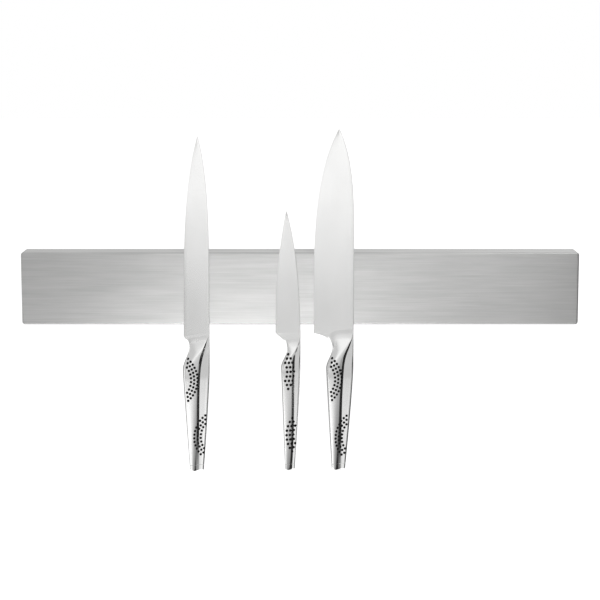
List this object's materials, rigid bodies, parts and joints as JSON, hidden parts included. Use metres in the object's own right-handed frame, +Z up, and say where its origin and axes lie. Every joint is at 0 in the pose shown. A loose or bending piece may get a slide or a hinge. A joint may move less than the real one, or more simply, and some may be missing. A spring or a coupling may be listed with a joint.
{
  "type": "magnetic knife rack",
  "caption": "Wall-mounted brushed-steel magnetic knife bar holding removable all-steel kitchen knives flat on its face, blades up and dimpled handles hanging below.",
  "frame": {"origin": "centre of the rack's rear face, on the wall plane", "axes": "+X along the rack, +Y into the wall, +Z up; the knives hang on the face towards -Y"},
  "size_m": [0.55, 0.0394, 0.341],
  "materials": {
    "cover_steel": "long horizontal brushing, satin",
    "blade_steel": "fine satin",
    "handle_steel": "polished stainless steel",
    "zinc_steel": "bright zinc plate",
    "ferrite": "matt sintered ferrite",
    "pale_plastic": "moulded, matt",
    "black_plastic": "moulded, fine grain",
    "pad_rubber": "matt",
    "fill_sand": "packed sand"
  },
  "bodies": {
    "rack": {"front_cover": "cover_steel", "magnet_frame": "pale_plastic", "back_iron": "zinc_steel", "back_plate": "black_plastic", "magnet_lower_1": "ferrite", "magnet_lower_2": "ferrite", "magnet_lower_3": "ferrite", "magnet_lower_4": "ferrite", "magnet_lower_5": "ferrite", "magnet_lower_6": "ferrite", "magnet_lower_7": "ferrite", "magnet_lower_8": "ferrite", "magnet_upper_1": "ferrite", "magnet_upper_2": "ferrite", "magnet_upper_3": "ferrite", "magnet_upper_4": "ferrite", "magnet_upper_5": "ferrite", "magnet_upper_6": "ferrite", "magnet_upper_7": "ferrite", "magnet_upper_8": "ferrite", "weld_stud_1": "zinc_steel", "stud_nut_1": "zinc_steel", "weld_stud_2": "zinc_steel", "stud_nut_2": "zinc_steel", "weld_stud_3": "zinc_steel", "stud_nut_3": "zinc_steel", "weld_stud_4": "zinc_steel", "stud_nut_4": "zinc_steel", "hanger_plate_left": "zinc_steel", "hanger_rivet_left_inner": "zinc_steel", "hanger_rivet_left_outer": "zinc_steel", "wall_pad_left_lower": "pad_rubber", "wall_pad_left_upper": "pad_rubber", "hanger_plate_right": "zinc_steel", "hanger_rivet_right_inner": "zinc_steel", "hanger_rivet_right_outer": "zinc_steel", "wall_pad_right_lower": "pad_rubber", "wall_pad_right_upper": "pad_rubber"},
    "carving_knife": {"carving_knife_blade": "blade_steel", "carving_knife_handle_front": "handle_steel", "carving_knife_handle_rear": "handle_steel", "carving_knife_butt_cap": "handle_steel", "carving_knife_ballast": "fill_sand"},
    "utility_knife": {"utility_knife_blade": "blade_steel", "utility_knife_handle_front": "handle_steel", "utility_knife_handle_rear": "handle_steel", "utility_knife_butt_cap": "handle_steel", "utility_knife_ballast": "fill_sand"},
    "chef_knife": {"chef_knife_blade": "blade_steel", "chef_knife_handle_front": "handle_steel", "chef_knife_handle_rear": "handle_steel", "chef_knife_butt_cap": "handle_steel", "chef_knife_ballast": "fill_sand"}
  },
  "joints": [
    {"name": "carving_knife_pull_off", "type": "slide", "parent": "rack", "child": "carving_knife", "axis": [0, -1, 0], "range_m": [0, 0.08]},
    {"name": "utility_knife_pull_off", "type": "slide", "parent": "rack", "child": "utility_knife", "axis": [0, -1, 0], "range_m": [0, 0.08]},
    {"name": "chef_knife_pull_off", "type": "slide", "parent": "rack", "child": "chef_knife", "axis": [0, -1, 0], "range_m": [0, 0.08]}
  ]
}
